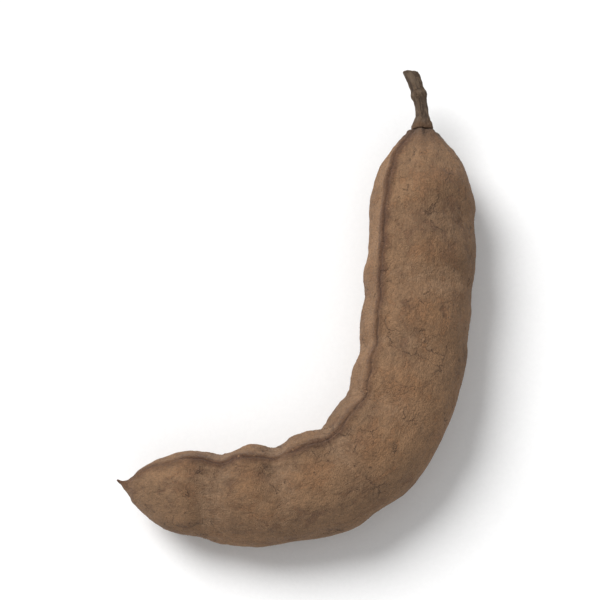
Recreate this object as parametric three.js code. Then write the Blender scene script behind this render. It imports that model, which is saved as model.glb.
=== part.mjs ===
// A ripe sweet tamarind pod as picked, lying on its side: the dry shell, swelled by its row of
// seeds, with a beak at one end, and the short woody stalk that it hung by at the other.
// Millimetres, +Z up. The origin is on the surface the pod lies on, under the middle of the
// whole, and +X runs from the beak end towards the stalk end.

import * as THREE from 'three';
import { LoftGeometry } from 'three/addons/geometries/LoftGeometry.js';

const radians = THREE.MathUtils.degToRad;
const TURN = 2 * Math.PI;

// Shell: length along its centreline, and size of the widest swell
const SHELL_LENGTH = 152;
const SHELL_WIDTH = 28.6;
const THICKNESS_SHARE = 0.79; // thickness over width
const TAIL_TAPER = 0.12; // share of the width lost by the beak end
const END_BLUNTNESS = 12; // higher is blunter
const END_SMOOTH = 9; // the relief fades out over this much of the beak end

// Curve of the centreline, seen from above
const SWEEP = radians(4); // turned evenly over the whole length
const BEND = radians(92); // turned in the bend
const BEND_FROM = 48;
const BEND_TO = 140;
const WANDER = radians(2.4); // the centreline weaves this far from its smooth curve
const WANDER_WAVE = 60;

// Neck at the stalk end, with the socket that holds the stalk
const NECK_RADIUS = 3.6;
const SHOULDER_LENGTH = 9;
const SHOULDER_ROUNDNESS = 1.3;
const SOCKET_RADIUS = 2.2;
const SOCKET_DEPTH = 3;
const NECK_FOLDS = 7;
const NECK_FOLD_HEIGHT = 0.45;
const NECK_FOLD_REACH = 7;
const NECK_FOLD_TWIST = 0.08; // radians for each millimetre along the shell

// Beak
const BEAK_LENGTH = 4.2;
const BEAK_RADIUS = 2.9; // at its foot
const BEAK_TIP_RADIUS = 0.35;
const BEAK_ROOT = 2.6; // reach of its flare over the shell's end
const BEAK_HOLLOWNESS = 2; // higher tapers it faster out of its foot
const BEAK_HOOK = radians(26);

// Seeds, which swell the shell, and the waists between them
const SEEDS = 8;
const FIRST_SEED = 17.5;
const SEED_PITCH = 17.2;
const SEED_DRIFT = 2; // how far a seed strays from an even pitch
const WAIST_DEPTH = 1.15;
const WAIST_DEPTH_SPREAD = 0.5; // share by which the waists' depths differ
const WAIST_LENGTH = 5.8;
const WAIST_LENGTH_SPREAD = 0.3;
const WAIST_SLANT = 2.4; // how far along the shell a waist leans on its way round
const WAIST_ONE_SIDED = 0.34; // how much deeper a waist is on one side
const SWELL_HEIGHT = 0.6;
const SWELL_LENGTH = 5.2;
const SWELL_SPREAD = radians(38);
const SWELL_SHIFT_ABOVE = radians(18); // how far round it strays from the flat side's middle
const SWELL_SHIFT_BELOW = radians(12);
const SWELL_SHARE_BELOW = 0.6; // height of a swell underneath over that of one on top

// Seams along the inner and outer edges, rolled up out of the plane of the curve
const SEAM_ANGLE = radians(131);
const SEAM_WANDER = radians(5);
const SEAM_WAVES = 1.1; // sways over the length of the shell
const SEAM_HEIGHT = 0.45;
const SEAM_SPREAD = radians(8);
const SEAM_HOLLOW_AT = radians(23); // a shallow hollow runs this far to each side of a seam
const SEAM_HOLLOW_DEPTH = 0.3;
const SEAM_HOLLOW_SPREAD = radians(12);
const SEAM_FROM = 10; // grows to its height over this much of the shell
const BACK_SEAM_SHARE = 0.6; // height of the outer seam over that of the inner one

// Low lumps over the whole shell: height, length of the wave, waves round the shell, and phase
const LUMPS = [
  { height: 0.16, wave: 20, round: 2, phase: 0.6 },
  { height: 0.14, wave: 33, round: -3, phase: 2.1 },
  { height: 0.12, wave: 13.4, round: 1, phase: 4 },
  { height: 0.1, wave: 10.1, round: -4, phase: 1.3 },
];
const LUMPS_FROM = 14; // grow to their height over this much of the shell

// Shallow dents pressed into the brittle shell: place along the shell, angle, depth, half size
const DENTS = [
  { at: 44, angle: radians(65), depth: 0.7, reach: 6, spread: radians(24) },
  { at: 97, angle: radians(118), depth: 0.55, reach: 5, spread: radians(20) },
  { at: 74, angle: radians(-20), depth: 0.6, reach: 7, spread: radians(22) },
  { at: 124, angle: radians(40), depth: 0.5, reach: 4.5, spread: radians(26) },
];

// Rest: the seeds whose swells reach the surface, and how far those spots are pressed flat
const REST_SEEDS = [1, 4, 6];
const REST_SWELL = 0.55;
const REST_REACH = 7; // the lowest point is this near to the seed's middle, seen from above
const REST_FLAT = 0.45;

// Stalk
const STALK_LENGTH = 17; // outside the shell
const STALK_RADIUS = 1.65;
const STALK_BEND = radians(24);
const STALK_RISE = radians(9);
const STALK_FLARE = 0.3; // growth of the radius past the knot
const COLLAR_AT = 0.8;
const COLLAR_RADIUS = 2.9;
const COLLAR_LENGTH = 2.4;
const KNOT_AT = 10.5;
const KNOT_HEIGHT = 0.55;
const KNOT_LENGTH = 1.1;
const STALK_RIBS = 5;
const STALK_RIB_HEIGHT = 0.12;
const STALK_RIB_TWIST = 0.1; // radians for each millimetre along the stalk
const CUT_SLANT = 0.55; // slope of the cut end
const CUT_FROM = 0.7; // the rings lean over from this share of the length
const GAP = 0.3; // between the stalk and the shell

// Fineness of the two surfaces
const SHELL_RINGS = 96;
const RING_CROWDING = 0.45; // draws the rings towards the ends of the shell
const SHELL_POINTS = 44;
const SEAM_CROWDING = 0.22; // draws the points of a ring towards the seams
const STALK_RINGS = 26;
const STALK_POINTS = 15;
const WALK_STRIDE = 0.25;
const EDGE = 1e-3; // width of the step at a sharp edge

// A steady uneven number from -1 to 1 for the nth of a row of repeats
const uneven = (n, row) => Math.sin(12.9 * (n + 1) + 4.7 * row);
const hump = (x) => Math.exp(-x * x);
const smooth = (from, to, x) => THREE.MathUtils.smoothstep(x, from, to);

// The angle between two directions round the shell, from -half a turn to half a turn
const apart = (a, b) => Math.atan2(Math.sin(a - b), Math.cos(a - b));

const seedPlaces = Array.from(
  { length: SEEDS },
  (_, n) => FIRST_SEED + SEED_PITCH * n + SEED_DRIFT * uneven(n, 0),
);

const waists = seedPlaces.slice(1).map((place, n) => ({
  at: (place + seedPlaces[n]) / 2,
  depth: WAIST_DEPTH * (1 + WAIST_DEPTH_SPREAD * uneven(n, 1)),
  length: WAIST_LENGTH * (1 + WAIST_LENGTH_SPREAD * uneven(n, 2)),
  slant: WAIST_SLANT * uneven(n, 3),
  deepestAt: Math.PI * uneven(n, 4),
}));

// Each seed lies against both flat sides of the shell, a little off their middles
const swells = seedPlaces.flatMap((at, n) => [
  {
    at: at + uneven(n, 4),
    angle: TURN / 4 + SWELL_SHIFT_ABOVE * uneven(n, 5),
    height: SWELL_HEIGHT,
  },
  {
    at: at + uneven(n, 6),
    angle: -TURN / 4 + SWELL_SHIFT_BELOW * uneven(n, 7),
    height: REST_SEEDS.includes(n) ? SWELL_HEIGHT + REST_SWELL : SWELL_SHARE_BELOW * SWELL_HEIGHT,
  },
]);

// How far the centreline has turned at a length, past the foot of the beak too, where it hooks
// inwards
const turnedAt = (s) =>
  WANDER * Math.sin((TURN * s) / WANDER_WAVE) -
  (SWEEP * s) / SHELL_LENGTH -
  BEND * smooth(BEND_FROM, BEND_TO, s) -
  BEAK_HOOK * smooth(0, BEAK_LENGTH, s - SHELL_LENGTH);

// The centreline's point and heading at each of a rising list of lengths
function walk(lengths, start = startHeading) {
  const point = new THREE.Vector2();
  const heading = (s) => start + turnedAt(s);
  let walked = 0;
  return lengths.map((s) => {
    while (walked < s) {
      const step = Math.min(WALK_STRIDE, s - walked);
      const middle = heading(walked + step / 2);
      point.x += step * Math.cos(middle);
      point.y += step * Math.sin(middle);
      walked = step < WALK_STRIDE ? s : walked + step;
    }
    return { point: point.clone(), heading: heading(s) };
  });
}

// The heading at the stalk end that brings the shell's two ends onto one line along X
const startHeading = Math.PI - walk([SHELL_LENGTH], 0)[0].point.angle();

function halfWidthAt(s) {
  const neck = NECK_RADIUS / (SHELL_WIDTH / 2);
  const shoulder = neck + (1 - neck) * (1 - Math.exp(-((s / SHOULDER_LENGTH) ** SHOULDER_ROUNDNESS)));
  const along = Math.min(s / SHELL_LENGTH, 1);
  const taper = 1 - TAIL_TAPER * along ** 2;
  const blunt = Math.sqrt(1 - along ** END_BLUNTNESS);
  return (SHELL_WIDTH / 2) * shoulder * taper * blunt;
}

function beakRadiusAt(s) {
  const past = s - SHELL_LENGTH;
  if (past < 0) return BEAK_RADIUS * hump(past / BEAK_ROOT);
  const left = Math.max(1 - past / BEAK_LENGTH, 0);
  return BEAK_TIP_RADIUS + (BEAK_RADIUS - BEAK_TIP_RADIUS) * left ** BEAK_HOLLOWNESS;
}

// The inner seam's angle round the shell; the outer seam runs opposite
const seamAt = (s) => SEAM_ANGLE + SEAM_WANDER * Math.sin((SEAM_WAVES * TURN * s) / SHELL_LENGTH);

function waistDepth(w, s, angle) {
  const round = 1 - WAIST_ONE_SIDED + WAIST_ONE_SIDED * Math.cos(angle - w.deepestAt);
  const leaned = w.at + w.slant * Math.sin(angle - w.deepestAt);
  return w.depth * round * hump((s - leaned) / w.length);
}

// The height of a seam and of the hollows beside it, at an angle off the seam
function seamProfile(off) {
  const hollow = SEAM_HOLLOW_DEPTH * hump((Math.abs(off) - SEAM_HOLLOW_AT) / SEAM_HOLLOW_SPREAD);
  return SEAM_HEIGHT * hump(off / SEAM_SPREAD) - hollow;
}

function seamHeight(s, angle) {
  const seam = seamAt(s);
  const inner = seamProfile(apart(angle, seam));
  const outer = seamProfile(apart(angle, seam + TURN / 2));
  return (inner + BACK_SEAM_SHARE * outer) * smooth(0, SEAM_FROM, s);
}

// How far the shell stands out of its plain oval section, at a length and an angle
function reliefAt(s, angle) {
  let height = seamHeight(s, angle);
  for (const w of LUMPS) {
    const wave = Math.sin((TURN * s) / w.wave + w.round * angle + w.phase);
    height += w.height * wave * smooth(0, LUMPS_FROM, s);
  }
  for (const w of waists) height -= waistDepth(w, s, angle);
  for (const w of swells) {
    height +=
      w.height * hump((s - w.at) / SWELL_LENGTH) * hump(apart(angle, w.angle) / SWELL_SPREAD);
  }
  for (const d of DENTS) {
    height -= d.depth * hump((s - d.at) / d.reach) * hump(apart(angle, d.angle) / d.spread);
  }
  const inBody = 1 - hump((SHELL_LENGTH - s) / END_SMOOTH);
  const folds = NECK_FOLD_HEIGHT * Math.cos(NECK_FOLDS * angle + NECK_FOLD_TWIST * s);
  return height * inBody + folds * Math.exp(-s / NECK_FOLD_REACH);
}

// A point of the cross-section at one place of the centreline: angle 0 is the outer edge of the
// curve, a quarter turn is up
function across(place, angle, wide, thick) {
  const out = wide * Math.cos(angle);
  return new THREE.Vector3(
    place.point.x - out * Math.sin(place.heading),
    place.point.y + out * Math.cos(place.heading),
    thick * Math.sin(angle),
  );
}

// One ring of points round the centreline, crowded towards the seams
function ringAt(place, s, sizeAt) {
  return Array.from({ length: SHELL_POINTS }, (_, j) => {
    const even = (TURN * j) / SHELL_POINTS;
    const angle = seamAt(s) + even - SEAM_CROWDING * Math.sin(2 * even);
    return across(place, angle, ...sizeAt(angle));
  });
}

// The shell's rings, from the bottom of the socket out over the neck and along to the beak's tip
function shellSections() {
  const total = SHELL_LENGTH + BEAK_LENGTH;
  const lengths = Array.from({ length: SHELL_RINGS }, (_, i) => {
    const u = i / (SHELL_RINGS - 1);
    const crowded = (1 - Math.cos(Math.PI * u)) / 2;
    return total * ((1 - RING_CROWDING) * u + RING_CROWDING * crowded);
  });
  const wall = walk(lengths).map((place, i) => {
    const s = lengths[i];
    const beak = beakRadiusAt(s);
    const wide = Math.hypot(halfWidthAt(s), beak);
    const thick = Math.hypot(THICKNESS_SHARE * halfWidthAt(s), beak);
    return ringAt(place, s, (angle) => {
      const relief = reliefAt(s, angle);
      return [wide + relief, thick + relief];
    });
  });
  const [mouth, bottom] = walk([0, SOCKET_DEPTH]);
  const tip = walk([total])[0];
  const round = (place, s, radius) => ringAt(place, s, () => [radius, radius]);
  return [
    round(bottom, 0, 0),
    round(bottom, 0, SOCKET_RADIUS),
    round(mouth, 0, SOCKET_RADIUS),
    ...wall,
    round(tip, total, 0),
  ];
}

// The stalk's direction at a distance from the mouth of the socket
function stalkDirection(t) {
  const grown = smooth(0, STALK_LENGTH, t);
  const heading = startHeading + TURN / 2 + STALK_BEND * grown;
  const rise = STALK_RISE * grown;
  return new THREE.Vector3(
    Math.cos(heading) * Math.cos(rise),
    Math.sin(heading) * Math.cos(rise),
    Math.sin(rise),
  );
}

function stalkRadiusAt(t) {
  const collar = (COLLAR_RADIUS - STALK_RADIUS) * hump((t - COLLAR_AT) / COLLAR_LENGTH);
  const knot = KNOT_HEIGHT * hump((t - KNOT_AT) / KNOT_LENGTH);
  return STALK_RADIUS + collar + knot + STALK_FLARE * smooth(KNOT_AT, STALK_LENGTH, t);
}

// One ring of the stalk, ribbed where ribs is 1, and leaning over by slant
function stalkRing(centre, t, radius, ribs, slant) {
  const along = stalkDirection(t);
  const side = new THREE.Vector3(0, 0, 1).cross(along).normalize();
  const up = new THREE.Vector3().crossVectors(along, side);
  return Array.from({ length: STALK_POINTS }, (_, j) => {
    const angle = (TURN * j) / STALK_POINTS;
    const rib = STALK_RIB_HEIGHT * Math.cos(STALK_RIBS * angle + STALK_RIB_TWIST * t);
    const r = radius + ribs * rib;
    return centre
      .clone()
      .addScaledVector(side, r * Math.cos(angle))
      .addScaledVector(up, r * Math.sin(angle))
      .addScaledVector(along, slant * r * Math.cos(angle));
  });
}

// The stalk's rings, from the end of its root in the socket out to the cut end
function stalkSections() {
  const mouth = new THREE.Vector3();
  const out = stalkDirection(0);
  const root = mouth.clone().addScaledVector(out, GAP - SOCKET_DEPTH);
  const foot = mouth.clone().addScaledVector(out, GAP);
  const rings = [
    stalkRing(root, 0, 0, 0, 0),
    stalkRing(root, 0, SOCKET_RADIUS - GAP, 0, 0),
    stalkRing(foot.clone().addScaledVector(out, -EDGE), 0, SOCKET_RADIUS - GAP, 0, 0),
  ];
  const step = (STALK_LENGTH - GAP) / (STALK_RINGS - 1);
  const centre = foot;
  for (let i = 0; i < STALK_RINGS; i++) {
    const t = GAP + step * i;
    const slant = CUT_SLANT * smooth(CUT_FROM, 1, t / STALK_LENGTH);
    rings.push(stalkRing(centre, t, stalkRadiusAt(t), 1, slant));
    centre.addScaledVector(stalkDirection(t + step / 2), step);
  }
  centre.addScaledVector(stalkDirection(STALK_LENGTH), -step);
  rings.push(stalkRing(centre, STALK_LENGTH, 0, 0, 0));
  return rings;
}

// Lays the pod down: a plane through the lowest points of the resting swells becomes the surface,
// and what would pass through it is pressed flat
function layDown(shell, stalk) {
  const points = shell.flat();
  const low = REST_SEEDS.map((n) => {
    const seed = walk([seedPlaces[n]])[0].point;
    const near = points.filter((p) => Math.hypot(p.x - seed.x, p.y - seed.y) < REST_REACH);
    return near.reduce((a, b) => (b.z < a.z ? b : a));
  });
  const { normal, constant } = new THREE.Plane().setFromCoplanarPoints(...low);
  const surfaceAt = (p) => -(normal.x * p.x + normal.y * p.y + constant) / normal.z;
  for (const p of [...points, ...stalk.flat()]) {
    p.z = Math.max(0, p.z - surfaceAt(p) - REST_FLAT);
  }
}

const shellMaterial = new THREE.MeshStandardMaterial({
  color: 0x8a6b50,
  roughness: 0.85,
  metalness: 0,
});

const stalkMaterial = new THREE.MeshStandardMaterial({
  color: 0x5a4a3d,
  roughness: 0.9,
  metalness: 0,
});

function mesh(name, sections, material) {
  const made = new THREE.Mesh(new LoftGeometry(sections), material);
  made.name = name;
  return made;
}

const shell = shellSections();
const stalk = stalkSections();
layDown(shell, stalk);

const pod = new THREE.Group();
pod.add(mesh('shell', shell, shellMaterial), mesh('stalk', stalk, stalkMaterial));

// The origin goes under the middle of the whole
const middle = new THREE.Box3().setFromObject(pod).getCenter(new THREE.Vector3());
for (const piece of pod.children) piece.position.set(-middle.x, -middle.y, 0);

export default pod;
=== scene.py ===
import math

import bpy
import numpy as np
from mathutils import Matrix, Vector


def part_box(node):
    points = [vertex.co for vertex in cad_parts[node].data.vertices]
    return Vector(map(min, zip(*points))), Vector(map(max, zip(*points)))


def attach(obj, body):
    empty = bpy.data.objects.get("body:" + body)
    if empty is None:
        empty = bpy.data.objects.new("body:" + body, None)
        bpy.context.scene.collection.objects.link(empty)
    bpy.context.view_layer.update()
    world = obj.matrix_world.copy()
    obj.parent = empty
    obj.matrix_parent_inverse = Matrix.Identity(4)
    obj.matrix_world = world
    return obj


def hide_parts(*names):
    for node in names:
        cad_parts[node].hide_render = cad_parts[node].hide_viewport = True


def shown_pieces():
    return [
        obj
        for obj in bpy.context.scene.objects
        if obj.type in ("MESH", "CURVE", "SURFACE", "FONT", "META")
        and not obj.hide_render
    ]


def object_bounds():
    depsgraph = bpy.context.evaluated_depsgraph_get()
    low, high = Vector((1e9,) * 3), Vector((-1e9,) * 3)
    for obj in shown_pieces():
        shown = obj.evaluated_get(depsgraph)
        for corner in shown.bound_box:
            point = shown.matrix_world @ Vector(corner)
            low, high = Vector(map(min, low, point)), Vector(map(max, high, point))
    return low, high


# A ripe sweet tamarind pod lying on its side: the dry scurfy shell, swelled by its seeds, and
# the woody stalk that it hung by. Metres, in the part's own frame.
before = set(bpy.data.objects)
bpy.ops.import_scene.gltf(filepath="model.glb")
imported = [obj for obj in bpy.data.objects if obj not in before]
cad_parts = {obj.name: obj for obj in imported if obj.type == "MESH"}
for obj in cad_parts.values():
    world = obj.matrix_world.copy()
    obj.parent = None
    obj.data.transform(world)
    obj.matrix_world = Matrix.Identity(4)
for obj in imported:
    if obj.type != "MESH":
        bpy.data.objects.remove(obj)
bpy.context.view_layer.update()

MM = 0.001
TURN = 2 * math.pi
UNEVEN_STEP = 12.9 # turns a repeat's place in its row into an uneven number
UNEVEN_ROW = 4.7 # sets one row of repeats apart from the next

# Shell: its length along the centreline, and the size of the widest swell, as in the part
SHELL_LENGTH = 152 * MM
SHELL_WIDTH = 28.6 * MM
THICKNESS_SHARE = 0.79
TAIL_TAPER = 0.12
END_BLUNTNESS = 12
END_SMOOTH = 9 * MM

# Curve of the centreline, seen from above
SWEEP = math.radians(4)
BEND = math.radians(92)
BEND_FROM = 48 * MM
BEND_TO = 140 * MM
WANDER = math.radians(2.4)
WANDER_WAVE = 60 * MM

# Neck at the stalk end
NECK_RADIUS = 3.6 * MM
NECK_LIP = 0.7 * MM
SHOULDER_LENGTH = 9 * MM
SHOULDER_ROUNDNESS = 1.3
SOCKET_RADIUS = 2.2 * MM
SOCKET_DEPTH = 3 * MM
NECK_FOLDS = 7
NECK_FOLD_HEIGHT = 0.45 * MM
NECK_FOLD_REACH = 7 * MM
NECK_FOLD_TWIST = 80
FINE_FOLDS = 19
FINE_FOLD_HEIGHT = 0.14 * MM
FINE_FOLD_REACH = 13 * MM
FINE_FOLD_SWAY = 2

# Beak
BEAK_LENGTH = 4.2 * MM
BEAK_RADIUS = 2.9 * MM
BEAK_TIP_RADIUS = 0.35 * MM
BEAK_TIP_LENGTH = 0.8 * MM # rounded off over this much
BEAK_TIP_ROUND = 0.98 # a full round is 1
BEAK_ROOT = 2.6 * MM
BEAK_HOLLOWNESS = 2
BEAK_HOOK = math.radians(26)

# Seeds, and the waists between them
SEEDS = 8
FIRST_SEED = 17.5 * MM
SEED_PITCH = 17.2 * MM
SEED_DRIFT = 2 * MM
WAIST_DEPTH = 1.15 * MM
WAIST_DEPTH_SPREAD = 0.5
WAIST_LENGTH = 5.8 * MM
WAIST_LENGTH_SPREAD = 0.3
WAIST_SLANT = 2.4 * MM
WAIST_ONE_SIDED = 0.34
SWELL_HEIGHT = 0.6 * MM
SWELL_LENGTH = 5.2 * MM
SWELL_SPREAD = math.radians(38)
SWELL_SHIFT_ABOVE = math.radians(18)
SWELL_SHIFT_BELOW = math.radians(12)
SWELL_SHARE_BELOW = 0.6
SWELL_DRIFT = 1 * MM

# Seams along the inner and outer edges, between shallow hollows, and a fine groove that strays
# along the crest of each
SEAM_ANGLE = math.radians(131)
SEAM_WANDER = math.radians(5)
SEAM_WAVES = 1.1
SEAM_HEIGHT = 0.45 * MM
SEAM_SPREAD = math.radians(8)
SEAM_HOLLOW_AT = math.radians(23)
SEAM_HOLLOW_DEPTH = 0.3 * MM
SEAM_HOLLOW_SPREAD = math.radians(12)
SEAM_FROM = 10 * MM
BACK_SEAM_SHARE = 0.6
GROOVE_DEPTH = 0.32 * MM
GROOVE_WIDTH = 0.42 * MM
GROOVE_STRAYS = 0.22 * MM
GROOVE_WAVES = [7.3 * MM, 19 * MM]

# Low lumps: height, length of the wave, waves round the shell, and phase
LUMPS = [
    (0.16 * MM, 20 * MM, 2, 0.6),
    (0.14 * MM, 33 * MM, -3, 2.1),
    (0.12 * MM, 13.4 * MM, 1, 4),
    (0.1 * MM, 10.1 * MM, -4, 1.3),
]
LUMPS_FROM = 14 * MM

# Dents: place along the shell, angle, depth, half length and half width
DENTS = [
    (44 * MM, math.radians(65), 0.7 * MM, 6 * MM, math.radians(24)),
    (97 * MM, math.radians(118), 0.55 * MM, 5 * MM, math.radians(20)),
    (74 * MM, math.radians(-20), 0.6 * MM, 7 * MM, math.radians(22)),
    (124 * MM, math.radians(40), 0.5 * MM, 4.5 * MM, math.radians(26)),
]

# Rest on three seeds
REST_SEEDS = [1, 4, 6]
REST_SWELL = 0.55 * MM
REST_REACH = 7 * MM
REST_FLAT = 0.45 * MM

# Stalk
STALK_LENGTH = 17 * MM
STALK_RADIUS = 1.65 * MM
STALK_BEND = math.radians(24)
STALK_RISE = math.radians(9)
STALK_FLARE = 0.3 * MM
COLLAR_AT = 0.8 * MM
COLLAR_RADIUS = 2.9 * MM
COLLAR_LENGTH = 2.4 * MM
COLLAR_WAVE = 0.24 * MM
COLLAR_WAVES = [3, 7]
KNOT_AT = 10.5 * MM
KNOT_HEIGHT = 0.55 * MM
KNOT_LENGTH = 1.1 * MM
SCAR_AT = KNOT_AT + 1.2 * MM
SCAR_WIDTH = 0.28 * MM
SCAR_WAVE = 2.6 * MM
STALK_RIBS = 5
STALK_RIB_HEIGHT = 0.12 * MM
STALK_RIB_TWIST = 100
CUT_SLANT = 0.55
CUT_FROM = 0.7
CUT_EDGE = 0.12 * MM
GAP = 0.3 * MM

# Fineness of the two surfaces and of their centrelines
SHELL_STEPS = 1200
STALK_STEPS = 400
SHELL_RINGS = 464
SHELL_POINTS = 204
RING_CROWDING = 0.3
SEAM_CROWDING = 0.2
STALK_RINGS = 150
STALK_POINTS = 96
CUT_RINGS = 16
SOCKET_RINGS = 8

# Fine relief. A fade is two distances from a seam in millimetres: where it starts, where it is full
PLEATS_FADE = (5.5, 1.5)
WRINKLE_BREADTH = 7.0 # length of a wrinkle round the shell over its width

SHELL_RELIEF = {
    "Lump Size": 4.5 * MM, "Lump Height": 0.6 * MM, "Dimple Size": 1.7 * MM,
    "Dimple Height": 0.26 * MM, "Pleat Width": 1.1 * MM, "Pleat Length": 7 * MM,
    "Pleat Height": 0.4 * MM, "Ridge Width": 1.7 * MM, "Ridge Length": 16 * MM,
    "Ridge Height": 0.26 * MM, "Wrinkle Size": 1.8 * MM, "Wrinkle Height": 0.6 * MM,
    "Pit Spacing": 5 * MM, "Pit Size": 1.6 * MM, "Pit Depth": 0.22 * MM, "Pit Share": 0.4,
}
STALK_RELIEF = {
    "Lump Size": 1.6 * MM, "Lump Height": 0.3 * MM, "Dimple Size": 0.6 * MM,
    "Dimple Height": 0.1 * MM, "Pleat Width": 0.24 * MM, "Pleat Length": 3 * MM,
    "Pleat Height": 0.2 * MM, "Ridge Width": 0.5 * MM, "Ridge Length": 5 * MM,
    "Ridge Height": 0.36 * MM, "Wrinkle Height": 0.0, "Pit Spacing": 1.4 * MM,
    "Pit Size": 0.4 * MM, "Pit Depth": 0.1 * MM, "Pit Share": 0.5,
}

# Grit, scurf and fibres strewn on a surface. Density is the most of them in a square metre
GRIT = {
    "Spacing": 1.15 * MM, "Density": 500000.0, "Smallest": 0.1 * MM, "Largest": 0.42 * MM,
    "Thickness": 0.5, "Ragged": 0.14 * MM, "Seed": 4,
}
SCURF = {
    "Spacing": 0.9 * MM, "Density": 350000.0, "Smallest": 0.18 * MM, "Largest": 0.8 * MM,
    "Thickness": 0.14, "Ragged": 0.3 * MM, "Seed": 9,
}
CUT_FIBRES = {
    "Spacing": 0.26 * MM, "Density": 9000000.0, "Smallest": 0.12 * MM, "Largest": 0.3 * MM,
    "Thickness": 1.0, "Ragged": 0.12 * MM, "Seed": 2,
}
SCURF_FADE = (3.0, 0.5)
SCURF_IN_WAISTS = 0.8
SCURF_ELSEWHERE = 0.12
BARE_BELOW = 1.5 * MM
NARROWEST = 0.4 # width over length

# Patterns in the surfaces. The stains and lines along the seams are half widths in millimetres
MOTTLE_OVER_GRAIN = 7.0
SPECK_THROW = 2.2 # how far a speck's edge is thrown about, over its size
GROWTH_RING = 0.42 * MM
BAND_WIDTH = 1.8
BACK_BAND_WIDTH = 1.1
LINE_WIDTH = 0.5
BACK_LINE_WIDTH = 0.4
NECK_STAIN = 10 * MM
TIP_STAIN = 4 * MM
HALF = (0.5, 0.5, 0.5) # the middle of a noise's colours

# Colours, linear
SHELL_TAUPE = (0.242, 0.139, 0.074, 1)
SHELL_DUSK = (0.190, 0.112, 0.062, 1)
SHELL_BROWN = (0.120, 0.062, 0.034, 1)
SHELL_WARM = (0.235, 0.120, 0.056, 1)
SHELL_DEEP = (0.052, 0.026, 0.016, 1)
SHELL_SCURF = (0.315, 0.208, 0.128, 1)
SHELL_STAIN = (0.092, 0.044, 0.024, 1)
BARK_BROWN = (0.085, 0.058, 0.040, 1)
BARK_GREY = (0.180, 0.130, 0.090, 1)
BARK_DEEP = (0.028, 0.018, 0.013, 1)
WOOD_PALE = (0.420, 0.310, 0.190, 1)
WOOD_BROWN = (0.170, 0.105, 0.060, 1)
FLOOR_WHITE = (0.90, 0.90, 0.90, 1)


def uneven(n, row):
    """A steady uneven number from -1 to 1 for the nth of a row of repeats."""
    return math.sin(UNEVEN_STEP * (n + 1) + UNEVEN_ROW * row)


def hump(x):
    return np.exp(-np.square(x))


def smooth(start, end, x):
    t = np.clip((x - start) / (end - start), 0, 1)
    return t * t * (3 - 2 * t)


def apart(a, b):
    """The angle between two directions round the shell, within half a turn."""
    return np.arctan2(np.sin(a - b), np.cos(a - b))


# The pod's form


SEED_PLACES = [FIRST_SEED + SEED_PITCH * n + SEED_DRIFT * uneven(n, 0) for n in range(SEEDS)]


def turned_at(s):
    """How far the centreline has turned at a length along it."""
    weave = WANDER * np.sin(TURN * s / WANDER_WAVE)
    sweep = SWEEP * s / SHELL_LENGTH
    bend = BEND * smooth(BEND_FROM, BEND_TO, s)
    hook = BEAK_HOOK * smooth(0, BEAK_LENGTH, s - SHELL_LENGTH)
    return weave - sweep - bend - hook


def centreline(s, start):
    """The centreline's points and headings at the lengths s, for a heading at the stalk end."""
    fine = np.linspace(0, SHELL_LENGTH + BEAK_LENGTH, SHELL_STEPS)
    step = fine[1]
    middle = start + turned_at(fine[:-1] + step / 2)
    x = np.concatenate([[0], np.cumsum(step * np.cos(middle))])
    y = np.concatenate([[0], np.cumsum(step * np.sin(middle))])
    return np.interp(s, fine, x), np.interp(s, fine, y), start + turned_at(s)


def level_heading():
    """The heading at the stalk end that brings the shell's two ends onto one line along X."""
    x, y, _ = centreline(SHELL_LENGTH, 0)
    return math.pi - math.atan2(y, x)


START = level_heading()


def half_width_at(s):
    neck = NECK_RADIUS / (SHELL_WIDTH / 2)
    shoulder = neck + (1 - neck) * (1 - np.exp(-((s / SHOULDER_LENGTH) ** SHOULDER_ROUNDNESS)))
    along = np.minimum(s / SHELL_LENGTH, 1)
    blunt = np.sqrt(1 - along**END_BLUNTNESS)
    return SHELL_WIDTH / 2 * shoulder * (1 - TAIL_TAPER * along**2) * blunt


def beak_radius_at(s):
    past = s - SHELL_LENGTH
    left = np.clip(1 - past / BEAK_LENGTH, 0, 1)
    beak = BEAK_TIP_RADIUS + (BEAK_RADIUS - BEAK_TIP_RADIUS) * left**BEAK_HOLLOWNESS
    to_tip = np.clip((past - BEAK_LENGTH) / BEAK_TIP_LENGTH + 1, 0, BEAK_TIP_ROUND)
    beak = beak * np.sqrt(1 - to_tip**2)
    return np.where(past < 0, BEAK_RADIUS * hump(past / BEAK_ROOT), beak)


def seam_at(s):
    return SEAM_ANGLE + SEAM_WANDER * np.sin(SEAM_WAVES * TURN * s / SHELL_LENGTH)


def waists_at(s, angle):
    """How deep the waists between the seeds are."""
    depth = 0
    for n in range(SEEDS - 1):
        place = (SEED_PLACES[n] + SEED_PLACES[n + 1]) / 2
        deepest = math.pi * uneven(n, 4)
        lean = place + WAIST_SLANT * uneven(n, 3) * np.sin(angle - deepest)
        length = WAIST_LENGTH * (1 + WAIST_LENGTH_SPREAD * uneven(n, 2))
        share = (1 + WAIST_DEPTH_SPREAD * uneven(n, 1)) * hump((s - lean) / length)
        depth += share * (1 - WAIST_ONE_SIDED + WAIST_ONE_SIDED * np.cos(angle - deepest))
    return WAIST_DEPTH * depth


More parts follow.
